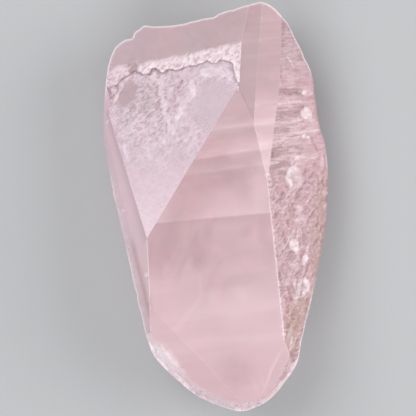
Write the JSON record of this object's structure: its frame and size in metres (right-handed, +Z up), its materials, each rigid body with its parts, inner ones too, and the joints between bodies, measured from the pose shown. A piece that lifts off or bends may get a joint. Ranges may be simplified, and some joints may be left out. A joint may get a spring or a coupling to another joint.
{
  "type": "morganite crystal",
  "caption": "Bladed pink beryl crystal with flat front facets, a frosted triangular face under a scalloped growth ledge, a ribbed side and a chipped rim, lying on its flat back.",
  "frame": {"origin": "middle of the crystal's bounding box in plan, at the height of the surface it rests on", "axes": "+Y along the crystal towards its broad broken end, +X across it towards the ribbed side, +Z up out of the main face"},
  "size_m": [0.0406, 0.0734, 0.0195],
  "materials": {
    "beryl": "natural pale pink beryl, milky and translucent, frosted on the triangular face and glassy on the ribbed side"
  },
  "bodies": {
    "root": {"crystal": "beryl"}
  },
  "joints": []
}
